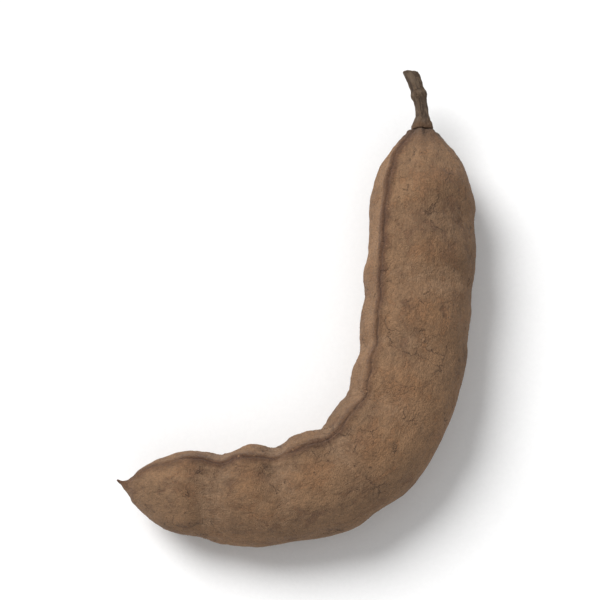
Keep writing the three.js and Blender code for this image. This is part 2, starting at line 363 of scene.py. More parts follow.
def swells_at(s, angle):
    """How high the seeds swell the two flat sides."""
    height = 0
    for n, place in enumerate(SEED_PLACES):
        above = TURN / 4 + SWELL_SHIFT_ABOVE * uneven(n, 5)
        below = -TURN / 4 + SWELL_SHIFT_BELOW * uneven(n, 7)
        low = SWELL_HEIGHT + REST_SWELL if n in REST_SEEDS else SWELL_SHARE_BELOW * SWELL_HEIGHT
        upper = hump((s - place - SWELL_DRIFT * uneven(n, 4)) / SWELL_LENGTH)
        lower = hump((s - place - SWELL_DRIFT * uneven(n, 6)) / SWELL_LENGTH)
        height += SWELL_HEIGHT * upper * hump(apart(angle, above) / SWELL_SPREAD)
        height += low * lower * hump(apart(angle, below) / SWELL_SPREAD)
    return height


def dents_at(s, angle):
    depth = 0
    for place, where, deep, reach, spread in DENTS:
        depth += deep * hump((s - place) / reach) * hump(apart(angle, where) / spread)
    return depth


def groove_at(s):
    """How far the fine groove strays from the middle of its seam."""
    return GROOVE_STRAYS * sum(np.sin(TURN * s / wave) for wave in GROOVE_WAVES)


def seams_at(s, angle, radius):
    """The height of the two seams, with the hollows beside them and the fine groove on them."""
    height = 0
    for turn, share in ((0, 1), (TURN / 2, BACK_SEAM_SHARE)):
        off = apart(angle, seam_at(s) + turn)
        groove = GROOVE_DEPTH * hump((off * radius - groove_at(s)) / GROOVE_WIDTH)
        hollow = SEAM_HOLLOW_DEPTH * hump((np.abs(off) - SEAM_HOLLOW_AT) / SEAM_HOLLOW_SPREAD)
        height += share * (SEAM_HEIGHT * hump(off / SEAM_SPREAD) - hollow - groove)
    return height * smooth(0, SEAM_FROM, s)


def folds_at(s, angle):
    """The neck's lengthwise folds, with finer ones that reach further."""
    broad = NECK_FOLD_HEIGHT * np.cos(NECK_FOLDS * angle + NECK_FOLD_TWIST * s)
    uneven_angle = FINE_FOLDS * angle + FINE_FOLD_SWAY * np.sin(2 * angle)
    fine = FINE_FOLD_HEIGHT * np.cos(uneven_angle)
    reach = hump(s / FINE_FOLD_REACH)
    return broad * np.exp(-s / NECK_FOLD_REACH) + fine * reach * smooth(0, NECK_LIP, s)


def across(x, y, heading, out, up):
    """Points of cross-sections: out is towards the outer edge of the curve."""
    return np.stack([x - out * np.sin(heading), y + out * np.cos(heading), up + 0 * x], -1)


def shell_places():
    """The places along the shell and the angles round it of the points of its outside."""
    u = np.linspace(0, 1, SHELL_RINGS)
    crowded = (1 - RING_CROWDING) * u + RING_CROWDING * (1 - np.cos(math.pi * u)) / 2
    s = (SHELL_LENGTH + BEAK_LENGTH) * crowded[:, None]
    even = TURN * np.arange(SHELL_POINTS) / SHELL_POINTS
    return s, seam_at(s) + even - SEAM_CROWDING * np.sin(2 * even)


def shell_rings():
    """The rings of the shell's outside, from the neck's lip to the beak's tip, with their marks."""
    s, angle = shell_places()
    beak = beak_radius_at(s)
    wide = np.hypot(half_width_at(s), beak)
    thick = np.hypot(THICKNESS_SHARE * half_width_at(s), beak)
    in_body = 1 - hump((SHELL_LENGTH - s) / END_SMOOTH)
    waists, swells, dents = waists_at(s, angle), swells_at(s, angle), dents_at(s, angle)
    lumps = sum(h * np.sin(TURN * s / w + r * angle + p) for h, w, r, p in LUMPS)
    body = lumps * smooth(0, LUMPS_FROM, s) - waists + swells - dents + seams_at(s, angle, wide)
    relief = body * in_body + folds_at(s, angle)
    lip = NECK_LIP - np.sqrt(NECK_LIP**2 - np.square(np.clip(NECK_LIP - s, 0, None)))
    out = (wide + relief - lip) * np.cos(angle)
    up = (thick + relief - lip) * np.sin(angle)
    x, y, heading = centreline(s, START)
    off = apart(angle, seam_at(s))
    back = apart(angle, seam_at(s) + TURN / 2)
    marks = {
        "straight": np.stack([s + 0 * angle, out, up], -1),
        "waist": np.clip((waists + dents) / WAIST_DEPTH, 0, 1) * in_body,
        "swell": np.clip(swells / SWELL_HEIGHT, 0, 1) * in_body,
        "seam": (off * wide - groove_at(s)) / MM,
        "back_seam": (back * wide - groove_at(s)) / MM,
        "skin": smooth(0, NECK_LIP, s) + 0 * angle,
    }
    return across(x, y, heading, out, up), marks, angle[0]


def socket_rings(angle):
    """The rings of the socket that holds the stalk, from its bottom to its mouth."""
    deep = np.linspace(1, 0, SOCKET_RINGS)[:, None]
    x, y, heading = centreline(SOCKET_DEPTH * deep, START)
    out, up = SOCKET_RADIUS * np.cos(angle), SOCKET_RADIUS * np.sin(angle)
    rings = across(x, y, heading, out + 0 * deep, up + 0 * deep)
    flat = 0 * deep + 0 * angle
    marks = {name: flat for name in ("waist", "swell", "skin")}
    marks.update({name: flat + SHELL_WIDTH / MM for name in ("seam", "back_seam")})
    marks["straight"] = np.stack([SOCKET_DEPTH * deep + flat, out + flat, up + flat], -1)
    return rings, marks


def stalk_direction(t):
    grown = smooth(0, STALK_LENGTH, t)
    heading = START + math.pi + STALK_BEND * grown
    rise = STALK_RISE * grown
    level = np.cos(rise)
    return np.stack([np.cos(heading) * level, np.sin(heading) * level, np.sin(rise)], -1)


def stalk_radius_at(t):
    collar = (COLLAR_RADIUS - STALK_RADIUS) * hump((t - COLLAR_AT) / COLLAR_LENGTH)
    knot = KNOT_HEIGHT * hump((t - KNOT_AT) / KNOT_LENGTH)
    return STALK_RADIUS + collar + knot + STALK_FLARE * smooth(KNOT_AT, STALK_LENGTH, t)


def stalk_sections():
    """The lengths and radii of the stalk's rings, and how far each is bark and cut wood."""
    root_t = np.linspace(GAP - SOCKET_DEPTH, GAP, SOCKET_RINGS)
    bark_t = np.linspace(GAP, STALK_LENGTH, STALK_RINGS)
    t = np.concatenate([root_t, bark_t, np.full(CUT_RINGS, STALK_LENGTH)])
    cut_share = np.linspace(1, 0, CUT_RINGS + 1)[:-1]
    root_r = np.full(SOCKET_RINGS, SOCKET_RADIUS - GAP)
    bark_r = stalk_radius_at(bark_t) - CUT_EDGE * hump((STALK_LENGTH - bark_t) / CUT_EDGE)
    radius = np.concatenate([root_r, bark_r, (bark_r[-1] - CUT_EDGE) * cut_share])
    on_bark = np.concatenate([0 * root_t, 1 + 0 * bark_t, cut_share])
    on_cut = np.arange(len(t)) >= SOCKET_RINGS + STALK_RINGS
    return [row[:, None] for row in (t, radius, on_bark, on_cut)]


def stalk_path(t):
    """The stalk's middle and heading at the lengths t, straight inside the socket."""
    fine = np.linspace(0, STALK_LENGTH - GAP, STALK_STEPS)
    steps = stalk_direction(GAP + fine[:-1] + fine[1] / 2) * fine[1]
    path = np.vstack([np.zeros(3), np.cumsum(steps, 0)]) + stalk_direction(0) * GAP
    middle = np.stack([np.interp(t - GAP, fine, path[:, k]) for k in range(3)], -1)
    middle += stalk_direction(0) * np.minimum(t - GAP, 0)[:, None]
    return middle, stalk_direction(np.maximum(t, 0))


def stalk_rings():
    """The stalk's rings, from the root's end in the socket to the middle of the cut end."""
    t, radius, on_bark, on_cut = stalk_sections()
    middle, along = stalk_path(t[:, 0])
    side = np.cross([0, 0, 1], along)
    side /= np.linalg.norm(side, axis=1)[:, None]
    rise = np.cross(along, side)
    angle = TURN * np.arange(STALK_POINTS) / STALK_POINTS
    ribs = STALK_RIB_HEIGHT * np.cos(STALK_RIBS * angle + STALK_RIB_TWIST * t)
    r = radius + ribs * on_bark
    waves = sum(np.sin(count * angle + count) for count in COLLAR_WAVES)
    drop = COLLAR_WAVE * (waves / (2 * len(COLLAR_WAVES)) + 0.5)
    drop = drop * hump((t - GAP) / COLLAR_AT) * on_bark
    slant = CUT_SLANT * smooth(CUT_FROM, 1, t / STALK_LENGTH)
    sideways, upwards = r * np.cos(angle), r * np.sin(angle)
    lean = slant * sideways - drop
    rings = middle[:, None] + side[:, None] * sideways[..., None]
    rings = rings + rise[:, None] * upwards[..., None] + along[:, None] * lean[..., None]
    flat = 0 * r
    knot = hump((t - KNOT_AT) / (2 * KNOT_LENGTH)) + hump((t - COLLAR_AT) / COLLAR_LENGTH)
    marks = {
        "straight": np.stack([t + flat, sideways, upwards], -1),
        "waist": flat,
        "swell": np.clip(knot + ribs / STALK_RIB_HEIGHT / 2, 0, 1),
        "skin": np.clip(on_bark - on_cut, 0, 1) + flat,
        "cut": on_cut + flat,
    }
    return rings, marks


def laying_plane(rings):
    """The plane through the lowest points under the resting seeds, as z = a x + b y + c."""
    points = rings.reshape(-1, 3)
    lowest = []
    for n in REST_SEEDS:
        x, y, _ = centreline(SEED_PLACES[n], START)
        near = points[np.hypot(points[:, 0] - x, points[:, 1] - y) < REST_REACH]
        lowest.append(near[near[:, 2].argmin()])
    low = np.array(lowest)
    return np.linalg.solve(np.column_stack([low[:, :2], np.ones(3)]), low[:, 2])


def lay_down(rings, plane, place):
    """Sets rings down on the surface at their place in the part, pressed flat where they rest."""
    a, b, c = plane
    height = rings[..., 2] - (a * rings[..., 0] + b * rings[..., 1] + c) - REST_FLAT
    rings[..., 2] = np.maximum(height, 0)
    rings[..., 0] += place[0]
    rings[..., 1] += place[1]
    return rings


def added(name, data):
    """A new object in the scene."""
    piece = bpy.data.objects.new(name, data)
    bpy.context.scene.collection.objects.link(piece)
    return piece


def closed_skin(name, rings, marks):
    """A closed mesh over rings of points, drawn together to one point at each end."""
    count, around = rings.shape[:2]
    points = np.vstack([rings.reshape(-1, 3), rings[0].mean(0), rings[-1].mean(0)])
    start, end = count * around, count * around + 1
    at = np.arange((count - 1) * around)
    beside = at // around * around + (at + 1) % around
    quads = np.stack([at, beside, beside + around, at + around], 1)
    first = np.arange(around)
    last = first + (count - 1) * around
    opening = np.stack([np.full(around, start), np.roll(first, -1), first], 1)
    closing = np.stack([last, np.roll(last, -1), np.full(around, end)], 1)
    mesh = bpy.data.meshes.new(name)
    mesh.from_pydata(points.tolist(), [], quads.tolist() + opening.tolist() + closing.tolist())
    mesh.polygons.foreach_set("use_smooth", np.ones(len(mesh.polygons), bool))
    for label, values in marks.items():
        wide = values.ndim == 3
        flat = values.reshape(count * around, -1)
        ends = [values[0].mean(0), values[-1].mean(0)]
        flat = np.vstack([flat, np.reshape(ends, (2, -1))])
        kind, slot = ("FLOAT_VECTOR", "vector") if wide else ("FLOAT", "value")
        attribute = mesh.attributes.new(label, kind, "POINT")
        attribute.data.foreach_set(slot, flat.astype(np.float32).ravel())
    return added(name, mesh)


# Node trees


def put(tree, kind, inputs=None, **settings):
    """Adds a node. inputs maps a socket's name or number to a value or to what feeds it."""
    node = tree.nodes.new(kind)
    for name, value in settings.items():
        setattr(node, name, value)
    for key, value in (inputs or {}).items():
        if isinstance(value, bpy.types.NodeSocket):
            tree.links.new(value, node.inputs[key])
        else:
            node.inputs[key].default_value = value
    return node


def sums(tree, operation, a, b=0.0, c=0.0):
    inputs = {0: a, 1: b, 2: c}
    return put(tree, "ShaderNodeMath", inputs, operation=operation).outputs[0]


def times(tree, a, b):
    return sums(tree, "MULTIPLY", a, b)


def plus(tree, value, *parts):
    """A value with a share of each part added to it. parts are pairs of a part and its share."""
    for part, share in parts:
        value = sums(tree, "MULTIPLY_ADD", part, share, value)
    return value


def vectors(tree, operation, a, b):
    return put(tree, "ShaderNodeVectorMath", {0: a, 1: b}, operation=operation).outputs[0]


def scaled(tree, vector, by):
    inputs = {0: vector, "Scale": by}
    return put(tree, "ShaderNodeVectorMath", inputs, operation="SCALE").outputs[0]


def joined(tree, x, y, z):
    return put(tree, "ShaderNodeCombineXYZ", {0: x, 1: y, 2: z}).outputs[0]


def parted(tree, vector):
    return put(tree, "ShaderNodeSeparateXYZ", {0: vector}).outputs


def ramp(tree, value, low, high, to_low=0.0, to_high=1.0):
    """Smoothly from to_low where value is low to to_high where it is high."""
    inputs = {"Value": value, "From Min": low, "From Max": high}
    inputs |= {"To Min": to_low, "To Max": to_high}
    node = put(tree, "ShaderNodeMapRange", inputs, interpolation_type="SMOOTHSTEP")
    return node.outputs[0]


def blended(tree, share, a, b, blend="MIX"):
    node = put(tree, "ShaderNodeMix", data_type="RGBA", blend_type=blend)
    for socket, value in zip((node.inputs[0], node.inputs[6], node.inputs[7]), (share, a, b)):
        if isinstance(value, bpy.types.NodeSocket):
            tree.links.new(value, socket)
        else:
            socket.default_value = value
    return node.outputs[2]


def layered(tree, colour, layers):
    """Lays colours over a first one in turn. layers holds a mask, a strength and a colour each."""
    for mask, strength, over in layers:
        colour = blended(tree, times(tree, mask, strength), colour, over)
    return colour


def shaded(tree, colour, shade):
    """A colour made lighter or darker."""
    grey = put(tree, "ShaderNodeCombineColor", {0: shade, 1: shade, 2: shade}).outputs[0]
    return blended(tree, 1.0, colour, grey, "MULTIPLY")


def noise(tree, vector, detail=2.0, roughness=0.5, distortion=0.0, scale=1.0, output=0):
    inputs = {"Vector": vector, "Scale": scale, "Detail": detail}
    inputs |= {"Roughness": roughness, "Distortion": distortion}
    return put(tree, "ShaderNodeTexNoise", inputs).outputs[output]


def cells(tree, vector, **settings):
    """Uneven cells about one unit across, each with a colour of its own."""
    inputs = {"Vector": vector, "Scale": 1.0}
    return put(tree, "ShaderNodeTexVoronoi", inputs, **settings).outputs


def sized(tree, vector, along, around=None):
    """A vector divided by a size along the pod, and by another round it if there is one."""
    around = along if around is None else around
    return vectors(tree, "DIVIDE", vector, joined(tree, along, around, around))


def with_sockets(tree, inputs, outputs):
    """Gives a tree its named inputs and outputs, and returns the two end nodes' sockets."""
    for name, kind, value in inputs:
        socket = tree.interface.new_socket(name, in_out="INPUT", socket_type=kind)
        if value is not None:
            socket.default_value = value
    for name, kind in outputs:
        tree.interface.new_socket(name, in_out="OUTPUT", socket_type=kind)
    given = tree.nodes.new("NodeGroupInput").outputs
    return given, tree.nodes.new("NodeGroupOutput").inputs


# Geometry Nodes: fine relief, and what lies scattered on the surface


def skin_tree(name, values, result):
    """A tree that works on a skin and a material, with its sizes and its seed as named inputs."""
    tree = bpy.data.node_groups.new(name, "GeometryNodeTree")
    inputs = [("Skin", "NodeSocketGeometry", None), ("Material", "NodeSocketMaterial", None)]
    for label, value in values.items():
        kind = "NodeSocketInt" if isinstance(value, int) else "NodeSocketFloat"
        inputs.append((label, kind, value))
    given, made = with_sockets(tree, inputs, [(result, "NodeSocketGeometry")])
    return tree, given, made


def named_mark(tree, name, kind="FLOAT"):
    """A value or vector that the skin carries under a name."""
    node = put(tree, "GeometryNodeInputNamedAttribute", {"Name": name}, data_type=kind)
    return node.outputs[0]


def position(tree):
    return tree.nodes.new("GeometryNodeInputPosition").outputs[0]


def moved(tree, geometry, **where):
    """Geometry moved by an Offset or to a Position."""
    inputs = {"Geometry": geometry} | where
    return put(tree, "GeometryNodeSetPosition", inputs).outputs[0]


def realized(tree, geometry):
    return put(tree, "GeometryNodeRealizeInstances", {0: geometry}).outputs[0]


def painted(tree, geometry, given):
    """Geometry with the material that the tree is given."""
    inputs = {"Geometry": geometry, "Material": given["Material"]}
    return put(tree, "GeometryNodeSetMaterial", inputs).outputs[0]


def pits_pattern(tree, place, given):
    """Round pits in a share of the cells."""
    pitted = cells(tree, sized(tree, place, given["Pit Spacing"]))
    lots = put(tree, "FunctionNodeSeparateColor", {0: pitted["Color"]}).outputs
    chosen = sums(tree, "LESS_THAN", lots[0], given["Pit Share"])
    reach = sums(tree, "DIVIDE", given["Pit Size"], given["Pit Spacing"])
    return times(tree, ramp(tree, pitted["Distance"], reach, 0.0), chosen)


def relief_tree():
    """Raises lumps, dimples, lengthwise ridges, wrinkles in the waists, pleats beside the seams
    and pits on a closed skin."""
    tree, given, made = skin_tree("fine relief", SHELL_RELIEF, "Skin")
    place = named_mark(tree, "straight", "FLOAT_VECTOR")

    def raised(name, along, around, **look):
        """A pattern of one kind, from half its height below the skin to half above it."""
        pattern = noise(tree, sized(tree, place, along, around), **look)
        return times(tree, sums(tree, "SUBTRACT", pattern, 0.5), given[f"{name} Height"])

    off = [sums(tree, "ABSOLUTE", named_mark(tree, name)) for name in ("seam", "back_seam")]
    beside = ramp(tree, sums(tree, "MINIMUM", off[0], off[1]), *PLEATS_FADE)
    long_wrinkle = times(tree, given["Wrinkle Size"], WRINKLE_BREADTH)
    ridges = raised("Ridge", given["Ridge Length"], given["Ridge Width"], detail=1.0)
    pleats = raised("Pleat", given["Pleat Length"], given["Pleat Width"])
    wrinkles = raised("Wrinkle", given["Wrinkle Size"], long_wrinkle, detail=1.0, distortion=0.6)
    height = raised("Lump", given["Lump Size"], None)
    for part in (
        raised("Dimple", given["Dimple Size"], None, roughness=0.6), ridges,
        times(tree, pleats, beside), times(tree, wrinkles, named_mark(tree, "waist")),
    ):
        height = sums(tree, "ADD", height, part)
    pits = times(tree, pits_pattern(tree, place, given), given["Pit Depth"])
    height = times(tree, sums(tree, "SUBTRACT", height, pits), named_mark(tree, "skin"))
    normal = tree.nodes.new("GeometryNodeInputNormal").outputs[0]
    shaped = moved(tree, given["Skin"], Offset=scaled(tree, normal, height))
    x, y, z = parted(tree, position(tree))
    level = joined(tree, x, y, sums(tree, "MAXIMUM", z, 0.0))
    rested = moved(tree, shaped, Position=level)
    tree.links.new(painted(tree, realized(tree, rested), given), made[0])
    return tree


def lot(tree, seed, shift):
    """A number from 0 to 1 for each point. Each shift gives another draw."""
    inputs = {2: 0.0, 3: 1.0, "Seed": sums(tree, "ADD", seed, shift)}
    return put(tree, "FunctionNodeRandomValue", inputs).outputs[1]


def scatter_tree(name, values, shape, where):
    """Strews small shapes over a skin. shape and where each add their own nodes to the tree."""
    tree, given, made = skin_tree(name, values, "Strewn")
    seed = given["Seed"]
    points = put(tree, "GeometryNodeDistributePointsOnFaces", {
        "Mesh": given["Skin"], "Distance Min": given["Spacing"],
        "Density Max": given["Density"], "Density Factor": where(tree), "Seed": seed,
    }, distribute_method="POISSON").outputs
    spin = put(tree, "FunctionNodeRandomValue", {3: TURN, "Seed": seed}).outputs[1]
    turned = put(tree, "FunctionNodeRotateRotation", {
        0: points["Rotation"],
        1: put(tree, "FunctionNodeAxisAngleToRotation", {"Angle": spin}).outputs[0],
    }, rotation_space="LOCAL").outputs[0]
    mostly_small = sums(tree, "POWER", lot(tree, seed, 7.0), 2.0)
    range_of_sizes = sums(tree, "SUBTRACT", given["Largest"], given["Smallest"])
    size = plus(tree, given["Smallest"], (mostly_small, range_of_sizes))
    width = plus(tree, NARROWEST, (lot(tree, seed, 3.0), 1.0 - NARROWEST))
    squat = joined(tree, 1.0, width, given["Thickness"])
    strewn = put(tree, "GeometryNodeInstanceOnPoints", {
        "Points": points["Points"], "Instance": shape(tree), "Rotation": turned,
        "Scale": scaled(tree, squat, size),
    }).outputs[0]
    rough = sized(tree, position(tree), given["Largest"])
    shove = vectors(tree, "SUBTRACT", noise(tree, rough, scale=2.0, output="Color"), HALF)
    shove = scaled(tree, shove, given["Ragged"])
    ragged = moved(tree, realized(tree, strewn), Offset=shove)
    tree.links.new(painted(tree, ragged, given), made[0])
    return tree


def crumb(tree):
    """A small round crumb."""
    return put(tree, "GeometryNodeMeshIcoSphere", {"Radius": 0.5, "Subdivisions": 1}).outputs[0]


def flake(tree):
    """A thin flake with seven corners."""
    inputs = {"Vertices": 7, "Radius": 0.5, "Depth": 0.5}
    node = put(tree, "GeometryNodeMeshCylinder", inputs, fill_type="TRIANGLE_FAN")
    return node.outputs[0]


def fibre(tree):
    """A short fibre that stands up."""
    inputs = {"Vertices": 5, "Radius Top": 0.1, "Radius Bottom": 0.3, "Depth": 1.1}
    return put(tree, "GeometryNodeMeshCone", inputs).outputs[0]


def off_the_floor(tree):
    """Nowhere near the floor, nor in the socket."""
    clear = ramp(tree, parted(tree, position(tree))[2], BARE_BELOW, 2 * BARE_BELOW)
    return times(tree, clear, named_mark(tree, "skin"))


def in_the_hollows(tree):
    """Most in the waists and along the seam, few elsewhere."""
    seam = ramp(tree, sums(tree, "ABSOLUTE", named_mark(tree, "seam")), *SCURF_FADE)
    waist = times(tree, named_mark(tree, "waist"), SCURF_IN_WAISTS)
    share = sums(tree, "ADD", sums(tree, "MAXIMUM", seam, waist), SCURF_ELSEWHERE)
    return times(tree, share, off_the_floor(tree))


def on_the_cut(tree):
    return named_mark(tree, "cut")


def through_nodes(piece, tree, values):
    """Turns a piece into the plain mesh that a tree makes of it, with the tree's named inputs."""
    modifier = piece.modifiers.new("rule", "NODES")
    modifier.node_group = tree
    for socket in tree.interface.items_tree:
        if socket.in_out == "INPUT" and socket.name in values:
            modifier[socket.identifier] = values[socket.name]
    graph = bpy.context.evaluated_depsgraph_get()
    made = bpy.data.meshes.new_from_object(
        piece.evaluated_get(graph), preserve_all_data_layers=True, depsgraph=graph
    )
    piece.modifiers.remove(modifier)
    made.name = piece.name
    piece.data = made
    return piece


# Shader node groups: what dry shell, bark and cut wood have in common


def shader_group(name, values, results):
    """A group that reads a place on the surface and named values, and puts out named values."""
    tree = bpy.data.node_groups.new(name, "ShaderNodeTree")
    inputs = [("Vector", "NodeSocketVector", None)]
    inputs += [(label, "NodeSocketFloat", value) for label, value in values.items()]
    outputs = [(label, "NodeSocketFloat") for label in results]
    given, made = with_sockets(tree, inputs, outputs)
    return tree, given, made


def colour_parts(tree, colour):
    return put(tree, "ShaderNodeSeparateColor", {0: colour}).outputs


def grain_group():
    """Sandy grain: grains of one size, each with its own tone, and coarser mottling."""
    values = {"Size": 0.4 * MM, "Mottling": 0.5}
    tree, given, made = shader_group("grain", values, ["Tone", "Height"])
    small = sized(tree, given["Vector"], given["Size"])
    fine = noise(tree, small, detail=3.0, roughness=0.6)
    crooked = vectors(tree, "ADD", noise(tree, small, scale=1.4, output="Color"), small)
    grains = cells(tree, crooked)
    own_tone = colour_parts(tree, grains["Color"])[0]
    tones = plus(tree, times(tree, fine, 0.5), (own_tone, 0.5))
    wide = sized(tree, given["Vector"], times(tree, given["Size"], MOTTLE_OVER_GRAIN))
    coarse = noise(tree, wide, detail=5.0, roughness=0.65, distortion=0.4)
    rest = sums(tree, "SUBTRACT", 1.0, given["Mottling"])
    tone = plus(tree, times(tree, tones, rest), (coarse, given["Mottling"]))
    tree.links.new(tone, made["Tone"])
    tree.links.new(plus(tree, fine, (grains["Distance"], -0.8)), made["Height"])
    return tree


def fibres_group():
    """Broken dark lines along the length, like the fibres under a dry skin."""
    values = {"Width": 0.5 * MM, "Length": 9 * MM}
    tree, given, made = shader_group("lengthwise fibres", values, ["Lines", "Height"])
    drawn_out = sized(tree, given["Vector"], given["Length"], given["Width"])
    lines = noise(tree, drawn_out, detail=3.0, roughness=0.6)
    broken = noise(tree, sized(tree, given["Vector"], given["Length"]))
    dark = times(tree, ramp(tree, lines, 0.5, 0.72), ramp(tree, broken, 0.42, 0.6))
    tree.links.new(dark, made["Lines"])
    tree.links.new(lines, made["Height"])
    return tree


def specks_group():
    """Uneven round specks: Share of the cells have one."""
    values = {"Spacing": 4 * MM, "Size": 0.6 * MM, "Share": 0.3}
    tree, given, made = shader_group("specks", values, ["Mask"])
    half_size = sized(tree, given["Vector"], times(tree, given["Size"], 0.5))
    shift = vectors(tree, "SUBTRACT", noise(tree, half_size, detail=3.0, output="Color"), HALF)
    shift = scaled(tree, shift, times(tree, given["Size"], SPECK_THROW))
    place = vectors(tree, "ADD", given["Vector"], shift)
    spots = cells(tree, sized(tree, place, given["Spacing"]))
    lots = colour_parts(tree, spots["Color"])
    reach = sums(tree, "DIVIDE", given["Size"], given["Spacing"])
    reach = times(tree, reach, plus(tree, 0.25, (lots[1], 0.5)))
    spot = ramp(tree, spots["Distance"], reach, times(tree, reach, 0.5))
    chosen = sums(tree, "LESS_THAN", lots[0], given["Share"])
    tree.links.new(times(tree, spot, chosen), made["Mask"])
    return tree


def patches_group():
    """Ragged patches that keep to where Where is high: rubbed crests, dust in hollows."""
    values = {"Where": 0.5, "Size": 6 * MM, "Spread": 0.5}
    tree, given, made = shader_group("patches", values, ["Mask"])
    place = sized(tree, given["Vector"], given["Size"])
    ragged = noise(tree, place, detail=6.0, roughness=0.7, distortion=0.3)
    drawn = plus(tree, ragged, (given["Where"], 0.35), (given["Spread"], 0.3))
    tree.links.new(ramp(tree, drawn, 0.72, 1.0), made["Mask"])
    return tree


def cracks_group():
    """Fine crooked cracks round the edges of plates of one size, in a few places only."""
    values = {"Size": 4 * MM, "Width": 0.05, "Where": 0.5}
    tree, given, made = shader_group("cracks", values, ["Lines"])
    small = sized(tree, given["Vector"], given["Size"])
    crooked = noise(tree, small, detail=3.0, roughness=0.65, scale=2.6, output="Color")
    inputs = {0: crooked, 1: HALF, 2: small}
    bent = put(tree, "ShaderNodeVectorMath", inputs, operation="MULTIPLY_ADD").outputs[0]
    edges = cells(tree, bent, feature="DISTANCE_TO_EDGE")["Distance"]
    elsewhere = vectors(tree, "ADD", small, (7.0, 3.0, 5.0))
    chosen = plus(tree, noise(tree, elsewhere), (given["Where"], 0.1))
    lines = ramp(tree, edges, given["Width"], 0.0)
    tree.links.new(times(tree, lines, ramp(tree, chosen, 0.58, 0.68)), made["Lines"])
    return tree


GRAIN = grain_group()
CRACKS = cracks_group()
FIBRES = fibres_group()
SPECKS = specks_group()
PATCHES = patches_group()


# Materials


def new_material(name):
    material = bpy.data.materials.new(name)
    material.use_nodes = True
    return material, material.node_tree


def effect(tree, group, place, **values):
    """What a group gives at a place on the surface, with values of this material's own."""
    inputs = {"Vector": place} | values
    return put(tree, "ShaderNodeGroup", inputs, node_tree=group).outputs


def mark(tree, name):
    """A value or vector that the mesh carries under a name."""
    return put(tree, "ShaderNodeAttribute", attribute_name=name).outputs


def finish(tree, colour, roughness, height, depth, specular=0.3, sheen=0.0):
    """Joins colour, roughness and relief to the shader."""
    shader = next(n for n in tree.nodes if n.type == "BSDF_PRINCIPLED")
    bump = put(tree, "ShaderNodeBump", {"Height": height, "Distance": depth, "Strength": 1.0})
    tree.links.new(colour, shader.inputs["Base Color"])
    tree.links.new(roughness, shader.inputs["Roughness"])
    tree.links.new(bump.outputs[0], shader.inputs["Normal"])
    shader.inputs["Specular IOR Level"].default_value = specular
    shader.inputs["Sheen Weight"].default_value = sheen
    shader.inputs["Sheen Roughness"].default_value = 0.6


def dry(tree, grain, least, most):
    """The roughness of a dry surface, uneven with its grain."""
    return ramp(tree, grain["Tone"], 0.3, 0.7, least, most)


def seam_band(tree, place, name, width):
    """A soft stain along a seam, ragged and broken. width is its half width in millimetres."""
    off = sums(tree, "ABSOLUTE", mark(tree, name)["Fac"])
    ragged = noise(tree, sized(tree, place, 3 * MM, 1.2 * MM), detail=6.0, roughness=0.7)
    off = plus(tree, off, (sums(tree, "SUBTRACT", ragged, 0.5), 2 * width))
    strong = ramp(tree, noise(tree, sized(tree, place, 15 * MM)), 0.35, 0.6, 0.65, 1.0)
    return times(tree, ramp(tree, off, 1.5 * width, 0.3 * width), strong)


def seam_line(tree, place, name, width):
    """The fine dark groove of a seam, faint in places."""
    off = sums(tree, "ABSOLUTE", mark(tree, name)["Fac"])
    broken = noise(tree, sized(tree, place, 4 * MM), detail=3.0)
    strong = ramp(tree, broken, 0.38, 0.58, 0.15, 1.0)
    return times(tree, ramp(tree, off, width, 0.3 * width), strong)


def seam_stains(tree, place):
    """The stained bands along the two seams, and the dark lines on them."""
    back_band = times(tree, seam_band(tree, place, "back_seam", BACK_BAND_WIDTH), 0.7)
    bands = sums(tree, "MAXIMUM", seam_band(tree, place, "seam", BAND_WIDTH), back_band)
    back_line = seam_line(tree, place, "back_seam", BACK_LINE_WIDTH)
    lines = sums(tree, "MAXIMUM", seam_line(tree, place, "seam", LINE_WIDTH), back_line)
    return bands, lines


def scurfy_coat(tree, place, grain, swell):
    """The coat of scurf, the bare shell under it, and where the coat is worn through."""
    broad = noise(tree, sized(tree, place, 24 * MM, 13 * MM), detail=3.0, roughness=0.55)
    coat = blended(tree, ramp(tree, broad, 0.65, 0.35), SHELL_TAUPE, SHELL_DUSK)
    bare = blended(tree, ramp(tree, broad, 0.35, 0.65), SHELL_BROWN, SHELL_WARM)
    cover = sized(tree, place, 4.6 * MM, 3 * MM)
    cover = noise(tree, cover, detail=8.0, roughness=0.68, distortion=0.5)
    worn = ramp(tree, plus(tree, cover, (grain["Tone"], 0.2), (swell, 0.1)), 0.64, 0.73)
    return coat, bare, worn


